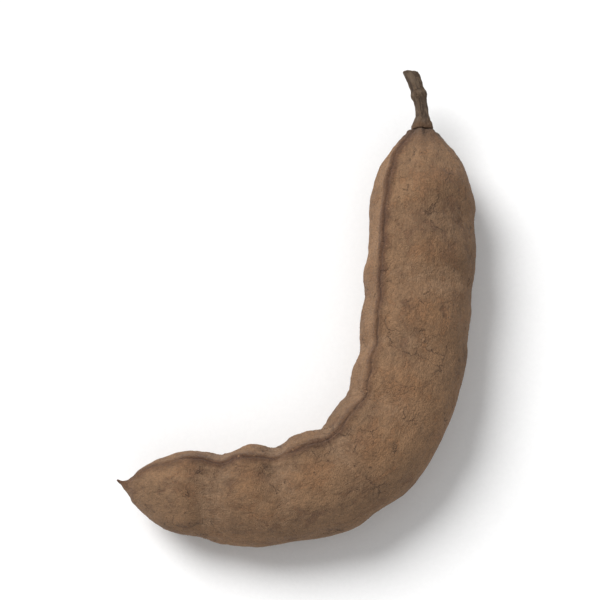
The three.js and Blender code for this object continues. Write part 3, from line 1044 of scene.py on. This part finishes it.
def shell_material():
    """Dry, matt brown shell under a worn coat of tan scurf, darker along its seams."""
    material, tree = new_material("pod_shell")
    place = mark(tree, "straight")["Vector"]
    along = parted(tree, place)[0]
    waist, swell = mark(tree, "waist")["Fac"], mark(tree, "swell")["Fac"]
    grain = effect(tree, GRAIN, place, Size=0.38 * MM, Mottling=0.4)
    fibres = effect(tree, FIBRES, place, Width=0.55 * MM, Length=11 * MM)
    rubbed = effect(tree, PATCHES, place, Where=swell, Size=4 * MM, Spread=0.35)["Mask"]
    dusty = effect(tree, PATCHES, place, Where=waist, Size=2.2 * MM, Spread=0.3)["Mask"]
    specks = effect(tree, SPECKS, place, Spacing=2.4 * MM, Size=0.6 * MM, Share=0.4)["Mask"]
    scars = effect(tree, SPECKS, place, Spacing=13 * MM, Size=4 * MM, Share=0.35)["Mask"]
    cracks = effect(tree, CRACKS, place, Size=6 * MM, Width=0.026, Where=waist)["Lines"]
    coat, bare, worn = scurfy_coat(tree, place, grain, swell)
    bands, lines = seam_stains(tree, place)
    neck = ramp(tree, along, NECK_STAIN, 0.0)
    tip = ramp(tree, along, SHELL_LENGTH - TIP_STAIN, SHELL_LENGTH + BEAK_LENGTH)
    woody = plus(tree, along, (fibres["Height"], 4 * MM))
    colour = layered(tree, coat, [
        (worn, 0.7, bare), (rubbed, 0.4, SHELL_WARM), (waist, 0.35, SHELL_BROWN),
        (dusty, 0.3, SHELL_SCURF), (fibres["Lines"], 0.3, SHELL_DEEP),
        (scars, 0.5, SHELL_STAIN), (specks, 0.7, SHELL_DEEP), (cracks, 0.6, SHELL_DEEP),
        (bands, 0.85, SHELL_STAIN), (lines, 0.6, SHELL_DEEP),
        (sums(tree, "MAXIMUM", neck, tip), 0.6, SHELL_STAIN),
        (ramp(tree, woody, 6 * MM, 2 * MM), 0.6, BARK_BROWN),
    ])
    colour = shaded(tree, colour, ramp(tree, grain["Tone"], 0.25, 0.75, 0.78, 1.22))
    rough = plus(tree, dry(tree, grain, 0.74, 0.92), (worn, -0.14))
    height = plus(tree, grain["Height"], (fibres["Height"], 0.6), (worn, -0.5),
                  (specks, -0.5), (scars, -0.6), (cracks, -0.8))
    finish(tree, colour, rough, height, 0.22 * MM, specular=0.24, sheen=0.03)
    return material


def bark_material():
    """Grey-brown bark: split lengthwise, with corky dots, rubbed ridges and a ringed scar."""
    material, tree = new_material("stalk_bark")
    place = mark(tree, "straight")["Vector"]
    along = parted(tree, place)[0]
    swell = mark(tree, "swell")["Fac"]
    grain = effect(tree, GRAIN, place, Size=0.22 * MM, Mottling=0.5)
    fibres = effect(tree, FIBRES, place, Width=0.26 * MM, Length=4 * MM)
    rubbed = effect(tree, PATCHES, place, Where=swell, Size=1.5 * MM, Spread=0.5)["Mask"]
    corky = effect(tree, SPECKS, place, Spacing=1.2 * MM, Size=0.5 * MM, Share=0.45)["Mask"]
    broad = sized(tree, place, 3 * MM, 1.1 * MM)
    broad = noise(tree, broad, detail=4.0, roughness=0.6, distortion=0.4)
    tone = plus(tree, times(tree, grain["Tone"], 0.4), (broad, 0.8))
    foot = ramp(tree, plus(tree, along, (broad, 3 * MM)), 5 * MM, 2 * MM)
    wavy = plus(tree, along, (broad, SCAR_WAVE))
    off = sums(tree, "ABSOLUTE", sums(tree, "SUBTRACT", wavy, SCAR_AT + SCAR_WAVE / 2))
    scar = times(tree, ramp(tree, off, SCAR_WIDTH, 0.2 * SCAR_WIDTH),
                 ramp(tree, grain["Tone"], 0.35, 0.6, 0.3, 1.0))
    colour = blended(tree, ramp(tree, tone, 0.48, 0.76), BARK_BROWN, BARK_GREY)
    colour = layered(tree, colour, [
        (foot, 0.7, SHELL_BROWN), (scar, 0.7, BARK_DEEP), (rubbed, 0.3, WOOD_BROWN),
        (corky, 0.6, SHELL_SCURF), (fibres["Lines"], 0.8, BARK_DEEP),
    ])
    height = plus(tree, grain["Height"], (fibres["Height"], 1.2), (corky, 0.5), (scar, -1.0))
    finish(tree, colour, dry(tree, grain, 0.75, 0.95), height, 0.24 * MM, specular=0.2)
    return material


def cut_wood_material():
    """Pale cut wood: fine pores round a brown pith, browner towards the bark."""
    material, tree = new_material("cut_wood")
    place = mark(tree, "straight")["Vector"]
    grain = effect(tree, GRAIN, place, Size=0.15 * MM, Mottling=0.3)
    pores = effect(tree, SPECKS, place, Spacing=0.28 * MM, Size=0.16 * MM, Share=0.8)["Mask"]
    _, y, z = parted(tree, place)
    flat = {0: joined(tree, 0.0, y, z)}
    out = put(tree, "ShaderNodeVectorMath", flat, operation="LENGTH").outputs["Value"]
    rings = sums(tree, "SINE", times(tree, out, TURN / GROWTH_RING))
    colour = layered(tree, WOOD_PALE, [
        (ramp(tree, rings, -1.0, 1.0), 0.35, WOOD_BROWN),
        (ramp(tree, out, 0.9 * MM, 1.9 * MM), 0.75, WOOD_BROWN),
        (ramp(tree, out, 0.4 * MM, 0.2 * MM), 0.9, BARK_DEEP), (pores, 0.7, WOOD_BROWN),
    ])
    height = plus(tree, grain["Height"], (pores, -0.8))
    finish(tree, colour, dry(tree, grain, 0.7, 0.9), height, 0.1 * MM)
    return material


def scurf_material(name, colour_a, colour_b):
    """Loose scurf: each bit a little lighter or darker than the next."""
    material, tree = new_material(name)
    place = put(tree, "ShaderNodeTexCoord").outputs["Object"]
    grain = effect(tree, GRAIN, place, Size=0.3 * MM, Mottling=0.6)
    colour = blended(tree, ramp(tree, grain["Tone"], 0.35, 0.65), colour_a, colour_b)
    finish(tree, colour, dry(tree, grain, 0.8, 0.95), grain["Height"], 0.06 * MM)
    return material


def floor_material():
    """Plain white paper with a very faint tooth."""
    material, tree = new_material("white_floor")
    place = put(tree, "ShaderNodeTexCoord").outputs["Object"]
    grain = effect(tree, GRAIN, place, Size=0.8 * MM, Mottling=0.3)
    colour = shaded(tree, FLOOR_WHITE, ramp(tree, grain["Tone"], 0.3, 0.7, 0.985, 1.0))
    finish(tree, colour, dry(tree, grain, 0.75, 0.8), grain["Height"], 0.02 * MM)
    return material


# Pieces


def stacked(first, second):
    """Two runs of rings and their marks as one."""
    rings = np.concatenate([first[0], second[0]])
    return rings, {name: np.concatenate([first[1][name], second[1][name]]) for name in second[1]}


def make_shell(relief, plane, place, wall, marks, angle):
    rings, marks = stacked(socket_rings(angle), (wall, marks))
    shell = closed_skin("pod_shell", lay_down(rings, plane, place), marks)
    through_nodes(shell, relief, SHELL_RELIEF | {"Material": shell_material()})
    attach(shell, "root")
    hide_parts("shell")
    return shell


def make_stalk(relief, plane, place):
    rings, marks = stalk_rings()
    x, y, _ = centreline(0, START)
    rings += np.array([x, y, 0])
    stalk = closed_skin("stalk_wood", lay_down(rings, plane, place), marks)
    through_nodes(stalk, relief, STALK_RELIEF | {"Material": bark_material()})
    stalk.data.materials.append(cut_wood_material())
    cut = np.zeros(len(stalk.data.vertices), np.float32)
    stalk.data.attributes["cut"].data.foreach_get("value", cut)
    for face in stalk.data.polygons:
        if min(cut[i] for i in face.vertices) > 0.5:
            face.material_index = 1
    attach(stalk, "root")
    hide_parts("stalk")
    return stalk


def strew(name, skin, material, values, shape, where):
    """A piece of its own, made of small shapes strewn over a skin."""
    piece = added(name, skin.data.copy())
    tree = scatter_tree(name, values, shape, where)
    through_nodes(piece, tree, values | {"Material": material})
    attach(piece, "root")
    return piece


def make_pod():
    wall, marks, angle = shell_rings()
    plane = laying_plane(wall)
    low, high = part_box("shell")
    points = wall.reshape(-1, 3)
    middle = (points.min(0) + points.max(0)) / 2
    place = ((low.x + high.x) / 2 - middle[0], (low.y + high.y) / 2 - middle[1])
    relief = relief_tree()
    shell = make_shell(relief, plane, place, wall, marks, angle)
    stalk = make_stalk(relief, plane, place)
    earthy = scurf_material("grit", SHELL_STAIN, SHELL_TAUPE)
    strew("grit", shell, earthy, GRIT, crumb, off_the_floor)
    flaky = scurf_material("scurf", SHELL_BROWN, SHELL_TAUPE)
    strew("scurf", shell, flaky, SCURF, flake, in_the_hollows)
    woody = scurf_material("cut_fibres", WOOD_BROWN, WOOD_PALE)
    strew("cut_fibres", stalk, woody, CUT_FIBRES, fibre, on_the_cut)


# Studio

VIEW_AZIMUTH = math.radians(-52)
VIEW_ELEVATION = math.radians(72)
VIEW_DISTANCE = 0.46
FRAME_SHARE = 0.8 # of the image's height that the pod takes up
SENSOR = 36 # millimetres
FLOOR_REACH = 12
SKY_STRENGTH = 0.4

# Each light's azimuth, elevation and breadth in degrees, and its strength
LIGHTS = {"key": (178, 45, 36, 3.25), "fill": (-35, 38, 60, 0.5)}


def direction(azimuth, elevation):
    level = math.cos(elevation)
    return Vector((math.sin(azimuth) * level, -math.cos(azimuth) * level, math.sin(elevation)))


def set_up(name, data, place, back):
    """A camera or a lamp at a place, with the direction back behind it."""
    thing = added(name, data)
    thing.location = place
    thing.rotation_mode = "QUATERNION"
    thing.rotation_quaternion = (-back).to_track_quat("-Z", "Y")
    return thing


def add_camera():
    """Looks down at the pod from where the picture was taken, with the pod in mid-frame."""
    back = direction(VIEW_AZIMUTH, VIEW_ELEVATION)
    turn = (-back).to_track_quat("-Z", "Y")
    corners = np.array([v.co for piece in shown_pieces() for v in piece.data.vertices])
    right, up = (np.array(turn @ Vector(axis)) for axis in ((1, 0, 0), (0, 1, 0)))
    across_view, up_view = corners @ right, corners @ up
    spans = [(side.min(), side.max()) for side in (across_view, up_view)]
    low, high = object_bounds()
    middle = (low + high) / 2
    target = middle
    for axis, (least, most) in zip((right, up), spans):
        target = target + Vector(axis) * ((least + most) / 2 - middle.dot(Vector(axis)))
    tallest = max(most - least for least, most in spans)
    camera = bpy.data.cameras.new("camera")
    camera.sensor_width = SENSOR
    camera.lens = SENSOR * VIEW_DISTANCE * FRAME_SHARE / tallest
    bpy.context.scene.camera = set_up("camera", camera, target + back * VIEW_DISTANCE, back)


def add_light(name, azimuth, elevation, spread, strength):
    """A soft light from far off, even over the whole floor."""
    lamp = bpy.data.lights.new(name, "SUN")
    lamp.angle = math.radians(spread)
    lamp.energy = strength
    away = direction(math.radians(azimuth), math.radians(elevation))
    set_up(name, lamp, away, away)


def add_stage():
    """A pale floor, an even sky and the lights."""
    sides = ((-1, -1), (1, -1), (1, 1), (-1, 1))
    corners = [(FLOOR_REACH * x, FLOOR_REACH * y, 0) for x, y in sides]
    mesh = bpy.data.meshes.new("floor")
    mesh.from_pydata(corners, [], [(0, 1, 2, 3)])
    mesh.materials.append(floor_material())
    floor = added("floor", mesh)
    world = bpy.data.worlds.new("studio")
    bpy.context.scene.world = world
    world.use_nodes = True
    sky = next(n for n in world.node_tree.nodes if n.type == "BACKGROUND")
    sky.inputs["Color"].default_value = (1, 1, 1, 1)
    sky.inputs["Strength"].default_value = SKY_STRENGTH
    for name, setting in LIGHTS.items():
        add_light(name, *setting)
    bpy.context.scene.view_settings.view_transform = "Standard"


make_pod()
add_camera()
add_stage()
